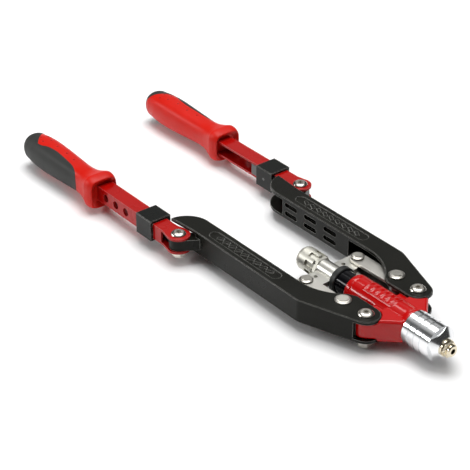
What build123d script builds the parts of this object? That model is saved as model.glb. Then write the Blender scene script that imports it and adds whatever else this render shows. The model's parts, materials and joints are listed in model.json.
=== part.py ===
"""Long-arm hand riveter with folding handles: a toggle lever tool that pulls rivet mandrels.

Frame: the pull axis lies along Y with the nose mouth at the origin, the nose
points to -Y, the handles run to +Y and +Z is up. The left side is +X.
Every size is in millimetres. One STEP file is written per sub-part.
"""

import os
from math import acos, asin, atan2, cos, degrees, hypot, radians, sin, sqrt

from build123d import *

os.makedirs("parts", exist_ok=True)

# ---------------------------------------------------------------- places
pivot_x = 29.3  # pull axis to an arm pivot
pivot_y = 71.5  # nose mouth to the arm pivots
link_pin_out = 1.0  # how far a link pin stands outside its arm pivot
link_pin_back = 27.2  # arm pivot to link pin, along the tool
crosshead_pin_back = 75.0  # arm pivot to crosshead pin with the arms closed
fold_x = 70.8  # pull axis to a folding hinge
fold_back = 201.0  # arm pivot to folding hinge, along the tool; the rear of the tool follows it
opening_angle = 42.0  # how far each arm swings out, in degrees

link_pin_x = pivot_x + link_pin_out
link_pin_y = pivot_y + link_pin_back
crosshead_pin_y = pivot_y + crosshead_pin_back
fold_y = pivot_y + fold_back

# ---------------------------------------------------------------- clearances
running_fit = 0.05  # radial play of a pin or shaft in its bore
face_gap = 0.15  # play between flat faces that slide on each other
free_gap = 0.3  # space between pieces of different bodies that never touch
edge_break = 0.6  # chamfer on sharp outer edges

# ---------------------------------------------------------------- linkage stroke
turn = radians(opening_angle)
link_length = hypot(link_pin_out, crosshead_pin_back - link_pin_back)


def link_pin_at(angle):
    """Link pin's place from its arm pivot (outward, back) with the arm swung out by an angle."""
    out = link_pin_out * cos(angle) + link_pin_back * sin(angle)
    back = link_pin_back * cos(angle) - link_pin_out * sin(angle)
    return out, back


def crosshead_at(angle):
    """Distance from the arm pivots back to the crosshead pins at an arm angle."""
    out, back = link_pin_at(angle)
    return back + sqrt(link_length**2 - out**2)


def link_turn(angle):
    """Angle of a link to the pull axis at an arm angle."""
    return asin(link_pin_at(angle)[0] / link_length)


stroke = crosshead_at(0) - crosshead_at(turn)
# A joint model with constant ratios leaves the true path in mid-stroke by these amounts.
path_error = crosshead_at(turn / 2) - (crosshead_at(0) - stroke / 2)
side_error = link_length * abs(sin(link_turn(turn / 2)) - sin((link_turn(0) + link_turn(turn)) / 2))

# ---------------------------------------------------------------- bolts, pins and nuts
bolt_radius = 4.0  # M8 pivot and folding bolts
bolt_head_radius = 6.9
bolt_head_height = 2.6
nut_across_flats = 13.0
pivot_nut_height = 8.4
fold_nut_height = 6.4
nut_collar_height = 1.4
bolt_end = 1.0  # how far a bolt stands out of its nut
pin_radius = 4.0  # link pins and crosshead pins
pin_head_radius = 7.2  # link pins
pin_head_height = 2.2
crosshead_head_radius = 6.0
crosshead_head_height = 1.6
pin_collar_radius = 4.8
pin_collar_height = 1.0
torx_radius = 2.5

# ---------------------------------------------------------------- arms
arm_half_height = 11.0
arm_plate = 3.0  # top and bottom plates
arm_wall = 3.0  # outer and inner walls
arm_inner_x = 39.5
arm_outer_x = 60.0
arm_lobe_radius = 12.5
bend_back = 50.6  # arm pivot to the bend of the outer wall
bend_radius = 10.0
wall_front_back = 0.8  # arm pivot to the front end of the outer wall
window_back = 98.5  # arm pivot to the end of the link window
waist_back = 67.0  # arm pivot to where the inner edge starts to curve in
waist_radius = 53.0
shoulder_x = 20.5
shoulder_back = 31.5
shoulder_front = 24.0
inner_wall_end = fold_back - 12.0  # arm pivot to the rear end of the inner wall
horn_tip_x = 62.7
horn_tip_back = fold_back + 21.7
horn_curve_start = fold_back - 4.6
horn_radius = 24.8
outer_wall_end = fold_back - 11.0
tongue_radius = 8.8
tongue_half_height = 5.3
tongue_root_length = 14.0
slot_height = 4.6
slot_rise = 4.5  # slot rows stand this far above and below mid height
slot_length = 17.3
slot_bridge = 9.6
slot_count = 3
slot_margin = 3.1  # rear end of the inner wall to the last slots
pocket_length = 94.0
pocket_width = 10.5
pocket_depth = 0.8
pocket_back = 86.0
mark_count = 9
mark_height = 0.7
mark_width = 3.2

# ---------------------------------------------------------------- body and nose
body_radius = 13.9
body_collar_radius = 15.3
body_collar_length = 3.2
body_back = 45.8  # arm pivots to the rear face of the body
body_rear_round = 1.5
plaque_front = -6.0  # arm pivots to the front edge of the plaque
plaque_length = 34.0
plaque_half_width = 7.6
plaque_rise = 0.6
plaque_ribs = 5
lug_radius = 9.3
lug_half_height = arm_half_height - arm_plate - 0.2
wing_half_height = arm_half_height - 0.4
wing_overhang = 2.0  # arm pivot to the outer end of a wing
wing_rear = 3.0  # the wings end this far in front of the arm pivots
housing_radius = 15.6
housing_length = 29.8  # the cylinder behind the cone
housing_front = 14.2  # nose mouth to the front edge of the cylinder
housing_bore = 9.9
housing_spigot_radius = 11.4
housing_spigot_length = 13.0
housing_front_wall = 2.4  # the bore starts this far in front of the cylinder
cone_tip_radius = 8.6
wrench_flat = 12.6  # pull axis to each of the four flats on the cone
wrench_flat_angle = -17.0
ring_groove_width = 1.3
ring_groove_depth = 0.7
ring_groove_pitch = 7.0
ring_groove_first = 5.9  # rear end of the cylinder to the first groove
nose_tip_radius = 5.4
nose_tip_length = 2.8
nose_hex_flats = 12.4
nose_hex_length = 3.4
nose_collar_radius = 7.6
nose_collar_length = 2.0
nose_shank_radius = 4.4
nose_shank_length = 5.9
mandrel_bore = 2.4

# ---------------------------------------------------------------- pull rod group
tube_radius = 5.5
tube_bore = 3.0
hub_radius = 8.9
neck_radius = 11.2
ring_radius = 12.8
ring_length = 6.0
crosshead_half_height = 2.5
crosshead_length = 19.3
ear_radius = 7.3
ear_hole_radius = 1.8
jaw_case_radius = 9.3
jaw_case_lip = 2.5
jaw_length = 11.0
jaw_slit = 0.8
spring_length = 7.5
spring_wire = 0.45
spring_turns = 4
tube_thread_length = 8.0
lock_ring_flats = 18.2
lock_ring_length = 3.4
cap_radius = 11.0
cap_length = 23.0
cap_round = 5.5
flute_count = 8
flute_width = 4.8
flute_depth = 2.0
flute_length = 9.5

# ---------------------------------------------------------------- links
link_half_width = 7.3
link_plate = 3.0
link_inner_face = crosshead_half_height + free_gap
link_outer_face = link_inner_face + link_plate

# ---------------------------------------------------------------- handles
channel_inner_x = 63.2
channel_outer_x = 78.7
channel_half_height = 7.6
channel_plate = 2.0
channel_back = fold_back + 227.0  # arm pivots to the rear end of the channel
ear_plate_radius = 10.6
ear_neck = 11.0  # folding hinge to the full width of the channel
web_front_back = fold_back + 15.9
web_hole_radius = 4.0
web_hole_back = fold_back + 71.0
web_hole_pitch = 16.0
web_hole_count = 3
sleeve_inner_x = 58.6
sleeve_outer_x = 81.5
sleeve_half_height = 10.3
sleeve_back = fold_back + 28.0
sleeve_length = 22.8
sleeve_forward_travel = 3.5
block_nose_half_width = 3.0
block_tail = 12.0  # the lock block shows this far behind its sleeve
lock_pin_radius = 1.25
grip_back = fold_back + 113.2  # arm pivots to the front rim of the grip
grip_length = 127.0
grip_x = 73.6  # pull axis to the middle of a grip
grip_corner = 0.8  # corner radius of a grip section, as a share of its half width
flange_half = 16.4
flange_rim_half = 14.8
grip_recess_depth = 6.0
grip_recess_mouth = 12.6  # half width of the funnel at the rim
grip_recess_taper = 24.0
panel_start = 31.0  # front rim to the front end of the soft panel
panel_butt = 20.0  # length of the soft butt cap
panel_width = 21.0
panel_depth_x = 7.0  # middle of the grip to the inner face of the panel


# ================================================================ helpers
def post(radius, low, high, x=0.0, y=0.0):
    """Upright cylinder from z = low to z = high."""
    return Pos(x, y, (low + high) / 2) * Cylinder(radius, high - low)


def shaft(radius, front, back):
    """Cylinder on the pull axis from y = front to y = back."""
    return Pos(0, (front + back) / 2, 0) * Rot(90, 0, 0) * Cylinder(radius, back - front)


def block(x_low, x_high, y_low, y_high, z_low, z_high):
    """Box between two corners."""
    centre = Pos((x_low + x_high) / 2, (y_low + y_high) / 2, (z_low + z_high) / 2)
    return centre * Box(x_high - x_low, y_high - y_low, z_high - z_low)


def turned(*points):
    """Solid of revolution about the pull axis; points are (radius, y)."""
    return revolve(make_face(Polyline(*points, close=True)), Axis.Y)


def plate(face, low, high):
    """Flat face in plan, thickened from z = low to z = high."""
    return Pos(0, 0, low) * extrude(face, high - low)


def prism(across_flats, low, high, x=0.0, y=0.0):
    """Upright hexagonal prism."""
    hexagon = RegularPolygon(across_flats / 2, 6, major_radius=False)
    return Pos(x, y, low) * extrude(hexagon, high - low)


def stadium(start, stop, radius):
    """Plan outline of a bar with round ends between two centres."""
    length = hypot(stop[0] - start[0], stop[1] - start[1])
    angle = degrees(atan2(stop[1] - start[1], stop[0] - start[0]))
    middle = Pos((start[0] + stop[0]) / 2, (start[1] + stop[1]) / 2)
    return middle * Rot(0, 0, angle) * SlotCenterToCenter(length, 2 * radius)


def mirrored(shape):
    """The same piece on the right side, which is -X."""
    return mirror(shape, Plane.YZ)


def both_sides(shape):
    """One node that holds a piece and its mirror image as two solids."""
    return Compound([*shape.solids(), *mirrored(shape).solids()])


def button_bolt(top, bottom, x, y):
    """Button-head bolt with a six-lobed socket, its head standing on z = top."""
    head = revolve(
        make_face(
            Polyline((0, 0), (bolt_head_radius, 0), (bolt_head_radius, 0.7))
            + ThreePointArc(
                (bolt_head_radius, 0.7),
                (bolt_head_radius * 0.83, bolt_head_height * 0.74),
                (bolt_head_radius * 0.48, bolt_head_height),
            )
            + Polyline((bolt_head_radius * 0.48, bolt_head_height), (0, bolt_head_height), (0, 0))
        ),
        Axis.Y,
    )
    bolt = Pos(0, 0, top) * Rot(90, 0, 0) * head + post(bolt_radius, bottom, top)
    socket = post(torx_radius * 0.74, top + 0.6, top + bolt_head_height + 1)
    for lobe in range(6):
        angle = radians(60 * lobe)
        radius = torx_radius * 0.72
        lobe_x = radius * cos(angle)
        lobe_y = radius * sin(angle)
        socket += post(torx_radius * 0.28, top + 0.6, top + bolt_head_height + 1, lobe_x, lobe_y)
    return Pos(x, y, 0) * (bolt - socket)


def lock_nut(top, height, x, y):
    """Hexagonal nut with its lower corners turned off and a round collar below, bored for its bolt."""
    hex_low = top - height + nut_collar_height
    corner = nut_across_flats / sqrt(3)
    rounding = revolve(
        make_face(
            Polyline(
                (0, hex_low),
                (nut_across_flats / 2, hex_low),
                (corner + 0.1, hex_low + 1.0),
                (corner + 0.1, top),
                (0, top),
                close=True,
            )
        ),
        Axis.Y,
    )
    hexagon = prism(nut_across_flats, hex_low, top) & (Rot(90, 0, 0) * rounding)
    collar = post(nut_across_flats / 2 - 0.9, top - height, hex_low)
    return Pos(x, y, 0) * (hexagon + collar - post(bolt_radius, top - height - 1, top + 1))


def domed_head(z, up, x, y, radius, height):
    """Low rivet head with a raised round centre, standing on z and facing up (1) or down (-1)."""
    profile = Polyline(
        (0, 0),
        (radius, 0),
        (radius, height * 0.35),
        (radius * 0.82, height * 0.72),
        (radius * 0.68, height * 0.78),
        (radius * 0.64, height),
        (0, height),
        close=True,
    )
    head = Rot(90, 0, 0) * revolve(make_face(profile), Axis.Y)
    return Pos(x, y, z) * (head if up > 0 else Rot(180, 0, 0) * head)


# ================================================================ body group
body_front = housing_front + housing_length
body_rear = pivot_y + body_back
collar_end = body_front + body_collar_length
bush_front = body_front + housing_spigot_length + 2.0
bush_radius = tube_radius + 3.0
crosshead_front = crosshead_pin_y - 9.5
ring_front = crosshead_front - ring_length
neck_inside = 11.5  # how far the neck reaches into the body with the arms closed
neck_front = body_rear - neck_inside
bush_rear = neck_front - stroke - 1.0


def body_casting():
    """Barrel with front collar, two pivot lugs, webs to the collar and a raised plaque."""
    barrel = shaft(body_radius, body_front, body_rear)
    barrel = fillet(barrel.edges().sort_by(Axis.Y)[-1], body_rear_round)
    collar = turned(
        (0, body_front),
        (body_collar_radius - 0.8, body_front),
        (body_collar_radius, body_front + 0.8),
        (body_collar_radius, collar_end),
        (body_radius, collar_end + 3.0),
        (0, collar_end + 3.0),
    )
    root = Pos(0, collar_end) * Rectangle(2 * body_collar_radius - 3, 2 * body_collar_length)
    rear_root = Pos(0, pivot_y - 2) * Rectangle(2 * body_radius - 3, 14)
    lug = Pos(pivot_x, pivot_y) * Circle(lug_radius)
    other = Pos(-pivot_x, pivot_y) * Circle(lug_radius)
    outline = make_hull((root + rear_root + lug + other).edges())
    lugs = plate(outline, -lug_half_height, lug_half_height)
    lugs = chamfer(lugs.faces().filter_by(Axis.Z).edges(), 2 * edge_break)
    casting = barrel + collar + lugs + wings(outline) + plaque()
    casting -= turned(
        (body_radius - 0.5, body_rear - 6.4),
        (body_radius + 1, body_rear - 6.4),
        (body_radius + 1, body_rear - 5.4),
        (body_radius - 0.5, body_rear - 5.4),
    )
    casting -= shaft(housing_spigot_radius, body_front - 1, body_front + housing_spigot_length)
    casting -= shaft(tube_radius + 1.2, body_front, body_rear)
    casting -= shaft(bush_radius, bush_front, body_rear)
    casting -= shaft(neck_radius + free_gap, bush_rear, body_rear + 1)
    for side in (1, -1):
        casting -= post(bush_outer, -arm_half_height, arm_half_height, side * pivot_x, pivot_y)
    return casting


def wings(outline):
    """Full-height shoulders of the lugs in front of the arms, scooped out round the arms' lobes."""
    top = plate(outline, -wing_half_height, wing_half_height)
    top = chamfer(top.faces().filter_by(Axis.Z).edges(), 3 * edge_break)
    reach = pivot_x + wing_overhang
    rear = pivot_y - wing_rear
    top &= block(-reach, reach, body_front, rear, -arm_half_height, arm_half_height)
    for side in (1, -1):
        top -= post(arm_lobe_radius + 2 * free_gap, -20, 20, side * pivot_x, pivot_y)
    return top


def plaque():
    """Raised generic frame with ribs on the top of the barrel; it carries no lettering."""
    low = pivot_y + plaque_front
    high = low + plaque_length
    half = plaque_half_width
    rim = 1.0
    relief = block(-half, half, low, high, 0, 30)
    relief -= block(-half + rim, half - rim, low + rim, high - rim, 0, 30)
    pitch = (plaque_length - 4 * rim) / plaque_ribs
    for rib in range(plaque_ribs):
        start = low + 2.5 * rim + rib * pitch
        relief += block(-half + 2 * rim, half - 2 * rim, start, start + pitch / 2, 0, 30)
    return relief & shaft(body_radius + plaque_rise, low, high)


bush_outer = bolt_radius + 2.0


def pivot_bushes():
    """Bronze bushes that line the two lugs."""
    tube = post(bush_outer, -lug_half_height, lug_half_height) - post(bolt_radius, -20, 20)
    return both_sides(Pos(pivot_x, pivot_y, 0) * tube)


def guide_bush():
    """Bronze guide in which the pull tube slides."""
    return shaft(bush_radius, bush_front, bush_rear) - shaft(
        tube_radius + running_fit, bush_front - 1, bush_rear + 1
    )


def nose_housing():
    """Turned nose with ring grooves, a cone with four wrench flats and a spigot into the body."""
    cone_front = nose_tip_length + nose_hex_length + nose_collar_length
    cylinder = shaft(housing_radius, housing_front, body_front)
    cone = turned(
        (0, cone_front),
        (cone_tip_radius, cone_front),
        (housing_radius, housing_front),
        (0, housing_front),
    )
    square = Box(2 * wrench_flat, 4 * housing_radius, 2 * wrench_flat)
    shape = cylinder + (cone & (Rot(0, wrench_flat_angle, 0) * square))
    for ring in range(3):
        start = body_front - ring_groove_first - ring * ring_groove_pitch
        shape -= turned(
            (housing_radius - ring_groove_depth, start - ring_groove_width),
            (housing_radius + 1, start - ring_groove_width),
            (housing_radius + 1, start),
            (housing_radius - ring_groove_depth, start),
        )
    shape += shaft(housing_spigot_radius, body_front, body_front + housing_spigot_length)
    bore_front = housing_front - housing_front_wall
    shape -= shaft(housing_bore, bore_front, body_front + housing_spigot_length + 1)
    shape -= shaft(nose_shank_radius, 0, housing_front)
    return shape


def nosepiece():
    """Screwed-in steel nosepiece: round tip, hexagon, collar and shank with the mandrel bore."""
    hex_back = nose_tip_length + nose_hex_length
    collar_back = hex_back + nose_collar_length
    tip = turned(
        (0, 0),
        (nose_tip_radius - 0.8, 0),
        (nose_tip_radius, 0.8),
        (nose_tip_radius, nose_tip_length),
        (0, nose_tip_length),
    )
    hexagon = Pos(0, hex_back, 0) * Rot(90, 0, 0) * extrude(
        RegularPolygon(nose_hex_flats / 2, 6, major_radius=False), nose_hex_length
    )
    collar = shaft(nose_collar_radius, hex_back, collar_back)
    shank = shaft(nose_shank_radius, collar_back, collar_back + nose_shank_length)
    return tip + hexagon + collar + shank - shaft(mandrel_bore, -1, collar_back + nose_shank_length + 1)


def pivot_bolts():
    """Two button-head bolts on which the arms swing."""
    bottom = -arm_half_height - pivot_nut_height - bolt_end
    return both_sides(button_bolt(arm_half_height, bottom, pivot_x, pivot_y))


def pivot_nuts():
    """Two lock nuts under the lower arm plates."""
    return both_sides(lock_nut(-arm_half_height, pivot_nut_height, pivot_x, pivot_y))


# ================================================================ pull rod group
jaw_case_front = housing_front - housing_front_wall + stroke + 0.8
jaw_front = jaw_case_front + jaw_case_lip
jaw_back = jaw_front + jaw_length
pusher_flange = 1.6
spring_front = jaw_back + pusher_flange
spring_back = spring_front + spring_length
jaw_case_back = spring_back + tube_thread_length
jaw_small_radius = nose_shank_radius + 0.7
jaw_big_radius = 7.2
crosshead_back = crosshead_front + crosshead_length
hub_back = crosshead_back + 2.0
cap_front = hub_back + lock_ring_length
tube_back = cap_front + 9.0


def pull_tube():
    """Hollow pull tube from the jaw case back to the tail."""
    return shaft(tube_radius, spring_back, tube_back) - shaft(tube_bore, spring_back - 1, tube_back + 1)


def jaw_case():
    """Conical chuck screwed on the front of the pull tube."""
    outer = turned(
        (0, jaw_case_front),
        (jaw_case_radius - 2.0, jaw_case_front),
        (jaw_case_radius, jaw_case_front + 3.0),
        (jaw_case_radius, jaw_case_back),
        (0, jaw_case_back),
    )
    seat = turned(
        (0, jaw_case_front - 1),
        (nose_shank_radius + free_gap, jaw_case_front - 1),
        (nose_shank_radius + free_gap, jaw_front - 0.6),
        (jaw_small_radius + free_gap, jaw_front - 0.3),
        (jaw_big_radius + free_gap, jaw_back),
        (jaw_big_radius + free_gap, spring_back),
        (tube_radius, spring_back),
        (tube_radius, jaw_case_back + 1),
        (0, jaw_case_back + 1),
    )
    return outer - seat


def gripping_jaws():
    """Three jaws that grip the mandrel, cut from one cone."""
    cone = turned(
        (mandrel_bore * 0.8, jaw_front),
        (jaw_small_radius, jaw_front),
        (jaw_big_radius, jaw_back),
        (mandrel_bore * 0.8, jaw_back),
    )
    for slit in range(3):
        cut = block(-jaw_slit / 2, jaw_slit / 2, jaw_front - 1, jaw_back + 1, 0, 2 * jaw_big_radius)
        cone -= Rot(0, 120 * slit, 0) * cut
    return cone


def jaw_pusher():
    """Flanged tube that presses the jaws forward."""
    flange = shaft(jaw_big_radius - 0.2, jaw_back, spring_front)
    stem = shaft(tube_bore - free_gap, jaw_back, spring_back + 4.0)
    return flange + stem - shaft(mandrel_bore, jaw_back - 1, spring_back + 5.0)


def jaw_spring():
    """Compression spring between the pusher and the pull tube."""
    radius = (tube_bore + jaw_big_radius) / 2
    height = spring_length - 2 * spring_wire - 0.2
    coil = Helix(height / spring_turns, height, radius)
    start = coil @ 0
    section = Plane(origin=start, z_dir=coil % 0) * Circle(spring_wire)
    wire = sweep(section, path=coil, is_frenet=True)
    return Pos(0, spring_front + spring_wire + 0.1, 0) * Rot(-90, 0, 0) * wire


def neck_sleeve():
    """Sleeve on the pull tube that slides into the rear bore of the body."""
    return shaft(neck_radius, neck_front, ring_front) - shaft(tube_radius, neck_front - 1, ring_front + 1)


def stop_ring():
    """Ring at the rear of the neck sleeve; it stays just clear of the body with the arms fully open."""
    outer = turned(
        (0, ring_front),
        (ring_radius - edge_break, ring_front),
        (ring_radius, ring_front + edge_break),
        (ring_radius, crosshead_front - edge_break),
        (ring_radius - edge_break, crosshead_front),
        (0, crosshead_front),
    )
    return outer - shaft(tube_radius, ring_front - 1, crosshead_front + 1)


def crosshead():
    """Round hub with two flat ears; each ear has an open slot for its crosshead pin."""
    hub = shaft(hub_radius, crosshead_front, hub_back)
    slot_back = crosshead_pin_y + path_error + free_gap
    ear = stadium((pivot_x, crosshead_pin_y), (pivot_x, slot_back), ear_radius)
    arm = Polygon(
        (0, crosshead_front),
        (pivot_x - 11.0, crosshead_front),
        (pivot_x, crosshead_pin_y - ear_radius),
        (pivot_x, slot_back + ear_radius),
        (pivot_x - 12.0, crosshead_back),
        (0, crosshead_back),
        align=None,
    )
    half = plate(arm + ear, -crosshead_half_height, crosshead_half_height)
    slot_radius = pin_radius + side_error + free_gap
    slot = stadium((pivot_x, crosshead_pin_y), (pivot_x, slot_back), slot_radius)
    half -= plate(slot, -arm_half_height, arm_half_height)
    half -= post(ear_hole_radius, -20, 20, pivot_x - 13.4, crosshead_pin_y + 3.2)
    whole = hub + half + mirrored(half)
    return whole - shaft(tube_radius, crosshead_front - 1, hub_back + 1)


def lock_ring():
    """Hexagonal ring nut behind the crosshead."""
    hexagon = Pos(0, cap_front, 0) * Rot(90, 0, 0) * extrude(
        RegularPolygon(lock_ring_flats / 2, 6, major_radius=False), lock_ring_length
    )
    return hexagon - shaft(tube_radius, hub_back - 1, cap_front + 1)


def tail_cap():
    """Round-ended mandrel catcher with flutes at its front; it turns on the end of the pull tube."""
    front = cap_front + face_gap
    back = front + cap_length
    shoulder = back - cap_round
    profile = Curve() + [
        Polyline(
            (0, back),
            (0, front),
            (cap_radius - edge_break, front),
            (cap_radius, front + edge_break),
            (cap_radius, shoulder),
        ),
        RadiusArc((cap_radius, shoulder), (cap_radius - cap_round, back), -cap_round),
        Line((cap_radius - cap_round, back), (0, back)),
    ]
    outer = revolve(make_face(profile), Axis.Y)
    inner = shaft(tube_radius + running_fit, front - 1, front + 7.0) + shaft(7.6, front + 7.0, back - 2.4)
    cap = outer - inner
    floor = cap_radius - flute_depth
    flute_end = front + flute_length
    for flute in range(flute_count):
        cut = block(-flute_width / 2, flute_width / 2, front - 1, flute_end, floor, cap_radius + 2)
        cap -= Rot(0, 360 / flute_count * (flute + 0.5), 0) * cut
    return cap


# ================================================================ arms and links
def lobe_tangent(radius):
    """Where a line from the wall's bend touches a circle round the arm pivot."""
    out, back = arm_outer_x - pivot_x, bend_back
    angle = atan2(back, out) - acos(radius / hypot(out, back))
    return pivot_x + radius * cos(angle), pivot_y + radius * sin(angle)


def arm_outline():
    """Plan outline of an arm plate: lobe, bent outer edge, horn and waisted inner edge."""
    lobe_inner = (pivot_x - arm_lobe_radius, pivot_y)
    lobe_front = (pivot_x, pivot_y - arm_lobe_radius)
    lobe_outer = lobe_tangent(arm_lobe_radius)
    bend = (arm_outer_x, pivot_y + bend_back)
    wall_end = (arm_outer_x, pivot_y + outer_wall_end)
    tip = (horn_tip_x, pivot_y + horn_tip_back)
    horn_start = (arm_inner_x, pivot_y + horn_curve_start)
    waist = (arm_inner_x, pivot_y + waist_back)
    shoulder = (shoulder_x, pivot_y + shoulder_back)
    neck = (pivot_x - arm_lobe_radius, pivot_y + shoulder_front)
    outline = Curve() + [
        ThreePointArc(lobe_inner, lobe_front, lobe_outer),
        Line(lobe_outer, bend),
        Line(bend, wall_end),
        Line(wall_end, tip),
        RadiusArc(tip, horn_start, -horn_radius, short_sagitta=True),
        Line(horn_start, waist),
        RadiusArc(waist, shoulder, waist_radius, short_sagitta=True),
        Line(shoulder, neck),
        Line(neck, lobe_inner),
    ]
    face = make_face(outline)
    if face.face().normal_at().Z < 0:
        face = -face
    return fillet(face.vertices().sort_by_distance(bend)[0], bend_radius)


def arm_window():
    """Plan region that stays open between the plates for the lug, the link and the hand of the link."""
    lobe_x, lobe_y = lobe_tangent(arm_lobe_radius)
    bend_y = pivot_y + bend_back
    run_x, run_y = arm_outer_x - lobe_x, bend_y - lobe_y
    run = hypot(run_x, run_y)
    step_x, step_y = -run_y / run * arm_wall, run_x / run * arm_wall
    start_y = pivot_y + wall_front_back
    share = (start_y - lobe_y - step_y) / run_y
    start_x = lobe_x + step_x + share * run_x
    bend_in = arm_outer_x - arm_wall
    bend_share = (bend_in - arm_outer_x - step_x) / run_x
    return Polygon(
        (0, pivot_y - 2 * arm_lobe_radius),
        (arm_outer_x + 10, pivot_y - 2 * arm_lobe_radius),
        (arm_outer_x + 10, start_y),
        (start_x, start_y),
        (bend_in, bend_y + step_y + bend_share * run_y),
        (bend_in, pivot_y + window_back),
        (0, pivot_y + window_back),
        align=None,
    )


def arm_shell():
    """Box-section arm: two plates, outer wall, slotted inner wall, rear horn and hinge tongue."""
    inside = arm_half_height - arm_plate
    blank = plate(arm_outline(), -arm_half_height, arm_half_height)
    rims = blank.faces().filter_by(Axis.Z).edges()
    arm = chamfer(rims, edge_break)
    arm -= plate(arm_window(), -inside, inside)
    rear_start = pivot_y + window_back + arm_wall
    root_front = pivot_y + outer_wall_end - tongue_root_length
    arm -= block(
        arm_inner_x + arm_wall, arm_outer_x - arm_wall, rear_start, root_front, -inside, inside
    )
    inner_end = pivot_y + inner_wall_end
    arm -= block(0, arm_outer_x - arm_wall - 8.0, inner_end, fold_y + 60, -inside, inside)
    arm -= block(0, fold_x + 20, pivot_y + outer_wall_end, fold_y + 60, -inside, inside)
    arm -= block(
        arm_inner_x + arm_wall, arm_outer_x - arm_wall - 8.0, root_front - 1, inner_end + 1, -inside, inside
    )
    arm += hinge_tongue()
    pitch = slot_length + slot_bridge
    first = inner_end - slot_margin
    for column in range(slot_count):
        centre_y = first - slot_length / 2 - column * pitch
        for row in (1, -1):
            slot = SlotOverall(slot_length, slot_height)
            cut = Plane.YZ * slot
            arm -= Pos(arm_inner_x - 1, centre_y, row * slot_rise) * extrude(cut, arm_wall + 2)
    for side in (1, -1):
        arm = pocketed(arm, side)
    hole = bolt_radius + running_fit
    arm -= post(hole, -20, 20, pivot_x, pivot_y)
    arm -= post(pin_radius, -20, 20, link_pin_x, link_pin_y)
    arm -= post(hole, -20, 20, fold_x, fold_y)
    return arm


def hinge_tongue():
    """Thick rounded lug at the rear of the arm with a notch for the lock block."""
    root_front = pivot_y + outer_wall_end - tongue_root_length
    wall_end = pivot_y + outer_wall_end
    root_width = 8.0
    root = Pos(arm_outer_x - arm_wall - root_width / 2, (root_front + wall_end) / 2) * Rectangle(
        root_width, tongue_root_length
    )
    heel = Pos(arm_outer_x - 4.0, wall_end - 3.0) * Rectangle(8.0, 6.0)
    lug = Pos(fold_x, fold_y) * Circle(tongue_radius)
    tongue = plate(make_hull((heel + lug).edges()), -tongue_half_height, tongue_half_height)
    inside = arm_half_height - arm_plate
    notch_front = fold_y + tongue_radius - sleeve_forward_travel + 1.3
    notch_half = block_nose_half_width + face_gap
    notch = block(
        fold_x - notch_half, fold_x + notch_half, notch_front, fold_y + 20, -inside, inside
    )
    return plate(root, -inside, inside) + tongue - notch


def pocketed(arm, side):
    """Long shallow pocket in an arm plate, filled with plain slanted marks instead of lettering."""
    centre_x = (arm_inner_x + arm_outer_x) / 2
    centre_y = pivot_y + pocket_back + pocket_length / 2
    level = side * (arm_half_height - pocket_depth)
    outline = Pos(centre_x, centre_y) * Rot(0, 0, 90) * SlotOverall(pocket_length, pocket_width)
    low, high = sorted((level, side * (arm_half_height + 1)))
    arm -= plate(outline, low, high)
    pitch = (pocket_length - 26.0) / (mark_count - 1)
    low, high = sorted((level - side * 0.2, level + side * mark_height))
    for mark in range(mark_count):
        bar = Rot(0, 0, 62) * Rectangle(pocket_width * 0.66, mark_width)
        arm += plate(Pos(centre_x, centre_y + (mark - (mark_count - 1) / 2) * pitch) * bar, low, high)
    return arm


def link_pin():
    """Riveted pin through both arm plates with a low head at each end."""
    pin = post(pin_radius, -arm_half_height, arm_half_height, link_pin_x, link_pin_y)
    for side in (1, -1):
        pin += domed_head(
            side * arm_half_height, side, link_pin_x, link_pin_y, pin_head_radius, pin_head_height
        )
    return pin


def link_spacers():
    """Three spacer rings on a link pin: between the links and between each link and its arm plate."""
    inside = arm_half_height - arm_plate
    hollow = post(pin_radius, -20, 20)
    middle = post(pin_radius + 2.2, -link_inner_face + face_gap, link_inner_face - face_gap)
    upper = post(pin_radius + 2.2, link_outer_face + face_gap, inside)
    rings = [middle - hollow, upper - hollow, mirror(upper, Plane.XY) - hollow]
    place = Pos(link_pin_x, link_pin_y, 0)
    return Compound([solid for ring in rings for solid in (place * ring).solids()])


def link_plate_piece(low, high):
    """Flat link from the link pin to the crosshead pin."""
    start = (link_pin_x, link_pin_y)
    stop = (pivot_x, crosshead_pin_y)
    bar = plate(stadium(start, stop, link_half_width), low, high)
    bar = chamfer(bar.faces().filter_by(Axis.Z).edges(), edge_break / 2)
    bar -= post(pin_radius + running_fit, low - 1, high + 1, *start)
    return bar - post(pin_radius, low - 1, high + 1, *stop)


def crosshead_pin():
    """Pin through both links, with a collar under each domed head."""
    pin = post(pin_radius, -link_outer_face, link_outer_face, pivot_x, crosshead_pin_y)
    for side in (1, -1):
        low, high = sorted((side * link_outer_face, side * (link_outer_face + pin_collar_height)))
        pin += post(pin_collar_radius, low, high, pivot_x, crosshead_pin_y)
        pin += domed_head(
            side * (link_outer_face + pin_collar_height),
            side,
            pivot_x,
            crosshead_pin_y,
            crosshead_head_radius,
            crosshead_head_height,
        )
    return pin


# ================================================================ handles
channel_end = pivot_y + channel_back
sleeve_front = pivot_y + sleeve_back
sleeve_rear = sleeve_front + sleeve_length


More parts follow.
